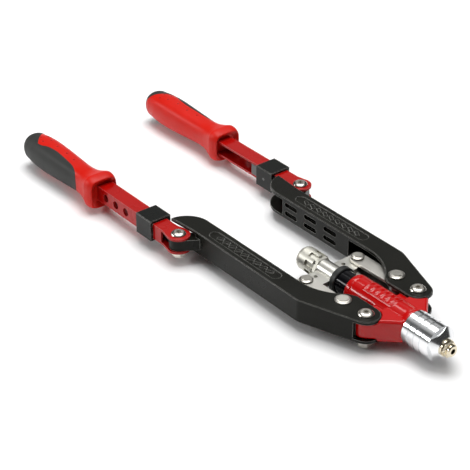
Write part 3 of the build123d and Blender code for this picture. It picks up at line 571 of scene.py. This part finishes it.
# ---------------------------------------------------------------- grips
@dataclass
class Grip:
    """Two-component grip: a hard red core with a guard, and a soft grey overlay with the butt.

    Distances run from the guard's front rim to the butt along the handle.
    Angles run from the top (0) over the outer side (90) to the bottom (180).
    """

    side: Side
    columns: int = 192
    recess_depth: float = 3.8
    recess_mouth: float = 12.9
    recess_floor: float = 9.4
    recess_squareness: float = 3.8
    butt_fullness: float = 0.72  # below 1 the butt is fuller than an ellipse
    overlay_front: float = 28.0
    overlay_opening: float = 21.0  # the overlay reaches its full width over this length
    strip_end: float = 100.0  # from here the overlay closes round the inner side
    tongue_end: float = 122.0
    tongue_fullness: float = 0.6
    overlay_proud: float = 0.22
    edge_sunk: float = 0.35  # the overlay's edges end this far inside the core
    edge_roll: float = 1.1
    pip_radius: float = 1.1
    pip_height: float = 0.5
    pip_sunk: float = 0.1

    def __post_init__(self) -> None:
        """Takes the grip's place and length from its CAD nodes."""
        word = self.side.word
        low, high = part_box(f"{word}_grip_core")
        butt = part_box(f"{word}_grip_panel")[1][1]
        self.front = low[1] / MM
        self.length = butt / MM - self.front
        self.middle = (low[0] + high[0]) / 2 / MM
        self.guard_half = (high[2] - low[2]) / 2 / MM

    def stations(self) -> tuple[np.ndarray, np.ndarray, np.ndarray, np.ndarray]:
        """Shape of the grip's section, as smooth curves through a few places from the rim to the butt.

        Returns:
            Distance, half width, half height and squareness at each station.
        """
        guard = self.guard_half
        place = np.array([0.0, 0.6, 1.6, 5.0, 9.0, 13.0, 18.0, 25.0, 35.0, 50.0, 70.0, 90.0, 104.0, 114.0])
        wide = np.array(
            [guard - 2.4, guard - 1.8, guard - 1.4, guard - 0.4, guard]
            + [guard - 1.0, 14.2, 13.1, 12.6, 13.3, 14.3, 14.9, 14.6, 13.6]
        )
        tall = wide + 0.3 * np.clip((place - 5.0) / 10.0, 0.0, 1.0)
        power = np.array([4.0, 4.0, 4.0, 3.9, 3.7, 3.3, 2.8, 2.5, 2.4, 2.35, 2.35, 2.35, 2.3, 2.2])
        fine = np.concatenate([np.linspace(0, 13, 46), np.linspace(13.4, place[-1], 170)])
        curves = [self._smooth(place, values, fine) for values in (wide, tall, power)]
        turn = np.linspace(0, math.pi / 2, 36)[1:]
        reach = self.length - place[-1]
        cap_place = place[-1] + reach * np.sin(turn)
        shrink = np.cos(turn) ** self.butt_fullness
        cap_wide = curves[0][-1] * shrink
        cap_tall = curves[1][-1] * shrink
        cap_power = np.full_like(turn, power[-1])
        return (
            np.concatenate([fine, cap_place]),
            np.concatenate([curves[0], cap_wide]),
            np.concatenate([curves[1], cap_tall]),
            np.concatenate([curves[2], cap_power]),
        )

    @staticmethod
    def _smooth(place: np.ndarray, values: np.ndarray, fine: np.ndarray) -> np.ndarray:
        """Cubic through the places, with slopes that never overshoot (monotone Hermite).

        Args:
            place: Places of the given values, rising.
            values: The values there.
            fine: Where the curve is wanted.

        Returns:
            The curve's values at the wanted places.
        """
        step = np.diff(place)
        slope = np.diff(values) / step
        joint = np.zeros_like(values)
        same = slope[:-1] * slope[1:] > 0
        mean = 2 * slope[:-1] * slope[1:] / np.where(same, slope[:-1] + slope[1:], 1.0)
        joint[1:-1] = np.where(same, mean, 0.0)
        joint[0], joint[-1] = slope[0], slope[-1]
        span = np.clip(np.searchsorted(place, fine, side="right") - 1, 0, len(step) - 1)
        share = (fine - place[span]) / step[span]
        ease = share * share * (3 - 2 * share)
        lift = share * (1 - share) ** 2
        drop = share * share * (share - 1)
        return (
            values[span] * (1 - ease)
            + values[span + 1] * ease
            + joint[span] * step[span] * lift
            + joint[span + 1] * step[span] * drop
        )

    @staticmethod
    def ring(
        angle: np.ndarray, wide: np.ndarray, tall: np.ndarray, power: np.ndarray
    ) -> tuple[np.ndarray, np.ndarray]:
        """Superellipse section: |x / wide| ^ power + |z / tall| ^ power = 1.

        Args:
            angle: Angles about the handle's line.
            wide: Half widths.
            tall: Half heights.
            power: Squareness; 2 is an ellipse.

        Returns:
            Place across and place up at each angle.
        """
        across, up = np.sin(angle), np.cos(angle)
        reach = (np.abs(across / wide) ** power + np.abs(up / tall) ** power) ** (-1 / power)
        return across * reach, up * reach

    def place(self, across: np.ndarray, distance: np.ndarray, up: np.ndarray) -> np.ndarray:
        """Moves local millimetres into the row frame, in metres."""
        x = self.middle + self.side.value * across
        y = self.front + distance + 0 * across
        return np.stack([x, y, up], axis=-1) * MM

    def core_points(self) -> np.ndarray:
        """The hard core: recess floor, recess wall, rim, guard, waist, belly and butt.

        Returns:
            Rows from the middle of the recess floor out over the rim and back to the butt.
        """
        distance, wide, tall, power = self.stations()
        angle = np.linspace(0, 2 * math.pi, self.columns, endpoint=False)[None, :]
        across, up = self.ring(angle, wide[:, None], tall[:, None], power[:, None])
        outer = self.place(across, distance[:, None], up)
        mouth, floor = self.recess_mouth, self.recess_floor
        slope = np.linspace(0.0, 1.0, 8)
        deepest = self.recess_depth
        depth = np.concatenate([[0.0, 0.2], 0.5 + (deepest - 0.5) * slope, [deepest] * 2])
        width = np.concatenate([[mouth + 0.7, mouth + 0.2], mouth + (floor - mouth) * slope, [6.0, 0.01]])
        width = width[:, None] + 0 * angle
        square = np.full_like(width, self.recess_squareness)
        inside, above = self.ring(angle + 0 * width, width, width, square)
        inner = self.place(inside, depth[:, None], above)
        return np.concatenate([inner[::-1], outer])

    def overlay_reach(self, distance: np.ndarray) -> np.ndarray:
        """Half angle of the overlay about the outer side, at each distance.

        It opens as a quarter ellipse behind the guard, leaves a narrow strip on
        top that widens to the rear, and then sweeps round the inner side, where
        the hard core ends in a round tongue.

        Args:
            distance: Distances from the guard's front rim.

        Returns:
            Half angles, in radians.
        """
        opening = np.clip((distance - self.overlay_front) / self.overlay_opening, 0.0, 1.0)
        front = np.sqrt(1 - (1 - opening) ** 2)
        belly = self._smooth(
            np.array([0.0, 44.0, 56.0, 72.0, 84.0, 96.0, 140.0]),
            np.array([66.0, 67.0, 71.0, 75.0, 71.0, 59.0, 53.0]),
            distance,
        )
        share = np.clip((distance - self.strip_end) / (self.tongue_end - self.strip_end), 0.0, 1.0)
        closing = 1 - (1 - share) ** self.tongue_fullness
        return np.radians(front * belly + closing * (180.0 - belly))

    def overlay_points(self) -> np.ndarray:
        """The soft overlay: the core's form, a little proud, with its edges rolled into the core.

        Rows stand closer where the overlay's outline turns; columns stand closer at its edges.

        Returns:
            Rows from the front edge to the butt; behind the tongue they go all the way round.
        """
        distance, wide, tall, power = self.stations()
        opened = self.overlay_front + self.overlay_opening
        span = self.tongue_end - self.strip_end
        along = np.concatenate(
            [
                self.overlay_front + 0.02 + self.overlay_opening * np.linspace(0.0, 1.0, 50) ** 2,
                np.linspace(opened + 0.8, self.strip_end - 0.2, 70),
                self.tongue_end - span * np.linspace(1.0, 0.0, 60) ** 2,
                distance[distance > self.tongue_end + 0.05],
            ]
        )
        wide, tall, power = (np.interp(along, distance, values) for values in (wide, tall, power))
        half = self.overlay_reach(along)[:, None]
        share = np.sin(np.linspace(-math.pi / 2, math.pi / 2, 141))[None, :]
        angle = math.pi / 2 + half * share
        inset = wide[:, None] * half * (1 - np.abs(share))
        inset = np.minimum(inset, (along - self.overlay_front)[:, None] + 0 * inset)
        roll = np.clip(inset / self.edge_roll, 0.0, 1.0)
        roll = np.where(half > math.radians(179.9), 1.0, roll)
        lift = -self.edge_sunk + (self.overlay_proud + self.edge_sunk) * np.sqrt(1 - (1 - roll) ** 2)
        across, up = self.ring(angle, wide[:, None] + lift, tall[:, None] + lift, power[:, None])
        return self.place(across, along[:, None], up)

    def pips_points(self) -> list[np.ndarray]:
        """Raised dots on the top strip, each a small dome on the section's top.

        Returns:
            The points of each dome.
        """
        distance, wide, tall, power = self.stations()
        rear_spots = [(104.0, -24.0), (106.0, 2.0), (98.0, 14.0), (94.0, -12.0)]
        front_spots = [(80.0, -4.0), (64.0, -6.0), (50.0, 0.0)]
        domes = []
        for along, degrees in rear_spots + front_spots:
            size = [np.interp(along, distance, values) for values in (wide, tall, power)]
            x, z = self.ring(np.array([math.radians(degrees)]), *[np.array([value]) for value in size])
            ring = np.linspace(0, 2 * math.pi, 16, endpoint=False)[None, :]
            rise = np.linspace(0, math.pi / 2, 6)[:, None]
            radius = self.pip_radius * np.cos(rise) + 0 * ring
            height = self.pip_height * np.sin(rise) - self.pip_sunk + 0 * ring
            across, back = radius * np.sin(ring), radius * np.cos(ring)
            domes.append(self.place(x + across, along + back, z + height))
        return domes

    def build(self, shop: Workshop) -> None:
        """Makes the core, the overlay and the dots, and lets them ride on the handle.

        Args:
            shop: The workshop with the materials.
        """
        word = self.side.word
        body = f"{word}_handle"
        core = skin(f"{word}_grip_core_moulding", self.core_points(), True, shop.materials["grip_red"])
        overlay = skin(f"{word}_grip_overlay", self.overlay_points(), False, shop.materials["grip_grey"])
        for piece, node, slot in (
            (core, "grip_core", "grip_red"),
            (overlay, "grip_panel", "grip_grey"),
        ):
            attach(piece, body)
            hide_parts(f"{word}_{node}")
        for number, points in enumerate(self.pips_points()):
            # the dots take the darker handle red: painted shade standing in for the dark of the dimples
            pip = skin(f"{word}_grip_pip_{number}", points, True, shop.materials["handle_red"])
            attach(pip, body)
        log.info("built the %s grip", word)


# ---------------------------------------------------------------- jaw spring
@dataclass
class JawSpring:
    """Compression spring behind the jaw pusher; it shortens as the jaws slide back."""

    turns: float = 4.0
    wire: float = 0.45  # radius of the wire, in millimetres
    steps: int = 260
    around: int = 12
    kept: float = 0.59  # share of its length that is left at the end of the jaws' travel

    def __post_init__(self) -> None:
        """Takes the coil's size and place from the CAD spring."""
        low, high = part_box("jaw_spring")
        self.radius = high[0] / MM - self.wire
        self.front, self.back = low[1] / MM + self.wire, high[1] / MM - self.wire

    def points(self) -> np.ndarray:
        """The wire: a circle square to a helix, carried along it and shrunk to a point at both ends.

        Returns:
            One row for each step along the helix.
        """
        turn = np.linspace(0.0, 2 * math.pi * self.turns, self.steps)
        climb = (self.back - self.front) / turn[-1]
        zero = np.zeros_like(turn)
        outward = np.stack([np.cos(turn), zero, np.sin(turn)], axis=-1)
        centre = self.radius * outward + np.stack([zero, self.front + climb * turn, zero], axis=-1)
        along = np.stack([-self.radius * np.sin(turn), zero + climb, self.radius * np.cos(turn)], axis=-1)
        along /= np.linalg.norm(along, axis=-1, keepdims=True)
        sideways = np.cross(along, outward)
        thick = np.full(self.steps, self.wire)
        thick[[0, -1]] = 0.0
        angle = np.linspace(0.0, 2 * math.pi, self.around, endpoint=False)
        across, up = np.cos(angle)[None, :, None], np.sin(angle)[None, :, None]
        ring = across * outward[:, None] + up * sideways[:, None]
        return (centre[:, None] + thick[:, None, None] * ring) * MM

    def build(self, shop: Workshop) -> None:
        """Makes the spring and lets it ride on the puller.

        Args:
            shop: The workshop with the materials.
        """
        spring = skin("coiled_jaw_spring", self.points(), True, shop.materials["spring_steel"])
        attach(spring, "puller")
        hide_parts("jaw_spring")
        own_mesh(spring)
        log.info("coiled the jaw spring")


# ---------------------------------------------------------------- studio
@dataclass
class Studio:
    """Pale floor, soft light and the camera."""

    camera_place: tuple[float, float, float] = (-786.1, -717.5, 755.1)
    camera_right: tuple[float, float, float] = (0.7842, -0.6205, -0.0043)
    camera_up: tuple[float, float, float] = (0.3275, 0.4079, 0.8523)
    lens: float = 123.47
    floor_size: float = 4.4
    floor_gap: float = 0.0002  # metres between the tool and the floor
    # Height above the horizon, from 0 to straight up (1), and brightness there; it is as at 0 below.
    room_bands: tuple[tuple[float, float], ...] = (
        (0.0, 1.0),
        (0.05, 1.0),
        (0.10, 0.05),
        (0.68, 0.05),
        (0.86, 0.80),
        (1.0, 0.95),
    )
    room_strength: float = 0.9

    def build(self) -> None:
        """Sets up everything that isn't part of the tool."""
        self._camera()
        self._floor()
        self._room()
        self._lights()
        bpy.context.scene.view_settings.view_transform = "Standard"
        log.info("set up the studio")

    def _camera(self) -> None:
        """Places the camera from its position and its right and up directions."""
        data = bpy.data.cameras.new("camera")
        data.lens = self.lens
        data.sensor_width = 36.0
        data.clip_start, data.clip_end = 0.05, 50.0
        camera = bpy.data.objects.new("camera", data)
        right = Vector(self.camera_right).normalized()
        up = Vector(self.camera_up).normalized()
        back = right.cross(up)
        turn = Matrix((right, up, back)).transposed().to_4x4()
        camera.matrix_world = Matrix.Translation(Vector(self.camera_place) * MM) @ turn
        bpy.context.scene.collection.objects.link(camera)
        bpy.context.scene.camera = camera

    def _floor(self) -> None:
        """Lays a flat sheet just under the lowest point of the tool."""
        half = self.floor_size / 2
        level = CAD_BOX[0][2] - self.floor_gap
        ends = [-half, half]
        corners = np.array([[[x, y, level] for x in ends] for y in ends])
        material = bpy.data.materials.new("floor")
        material.use_nodes = True
        shader = material.node_tree.nodes["Principled BSDF"]
        shader.inputs["Base Color"].default_value = (0.93, 0.93, 0.93, 1.0)
        shader.inputs["Roughness"].default_value = 0.75
        shader.inputs["Specular IOR Level"].default_value = 0.2
        sheet = skin("floor", corners, False, material)
        if sheet.data.polygons[0].normal.z < 0:
            sheet.data.flip_normals()

    def _room(self) -> None:
        """The room: white near the horizon, dark walls above it and a broad bright ceiling."""
        world = bpy.data.worlds.new("room")
        bpy.context.scene.world = world
        world.use_nodes = True
        tree = world.node_tree
        place = tree.nodes.new("ShaderNodeTexCoord")
        split = tree.nodes.new("ShaderNodeSeparateXYZ")
        ramp = tree.nodes.new("ShaderNodeValToRGB")
        tree.links.new(place.outputs["Generated"], split.inputs[0])
        tree.links.new(split.outputs["Z"], ramp.inputs[0])
        tree.links.new(ramp.outputs["Color"], tree.nodes["Background"].inputs["Color"])
        band = ramp.color_ramp
        while len(band.elements) < len(self.room_bands):
            band.elements.new(0.5)
        for element, (position, value) in zip(band.elements, self.room_bands):
            element.position = position
            element.color = (value, value, value, 1.0)
        tree.nodes["Background"].inputs["Strength"].default_value = self.room_strength

    def _lights(self) -> None:
        """Adds a soft overhead light, a bright strip behind the right grip and a weak panel opposite."""
        self._panel("overhead", (0.25, 0.45, 1.6), (1.2, 1.2), 27.0)
        self._panel("left strip", (-1.35, 1.55, 0.80), (1.2, 0.28), 14.0)
        self._panel("back panel", (1.20, 1.60, 1.10), (0.9, 0.9), 1.0)

    def _panel(
        self, name: str, place: tuple[float, float, float], size: tuple[float, float], power: float
    ) -> None:
        """Adds a rectangular light that faces the tool's middle.

        Args:
            name: The light's name.
            place: Where it hangs, in metres.
            size: Its two sides, in metres.
            power: Its power, in watts.
        """
        data = bpy.data.lights.new(name, "AREA")
        data.shape = "RECTANGLE"
        data.size, data.size_y = size
        data.energy = power
        lamp = bpy.data.objects.new(name, data)
        target = Vector((0.0, 0.2, 0.0))
        lamp.location = place
        lamp.rotation_euler = (target - Vector(place)).to_track_quat("-Z", "Y").to_euler()
        bpy.context.scene.collection.objects.link(lamp)


def main() -> None:
    """Builds the looks in order and reports each piece."""
    logging.basicConfig(level=logging.INFO, format="%(name)s: %(message)s")
    shop = Workshop()
    shop.dress_frame()
    BodyCasting().build(shop)
    for side in Side:
        Grip(side).build(shop)
    JawSpring().build(shop)
    Studio().build()


if __name__ == "__main__":
    main()
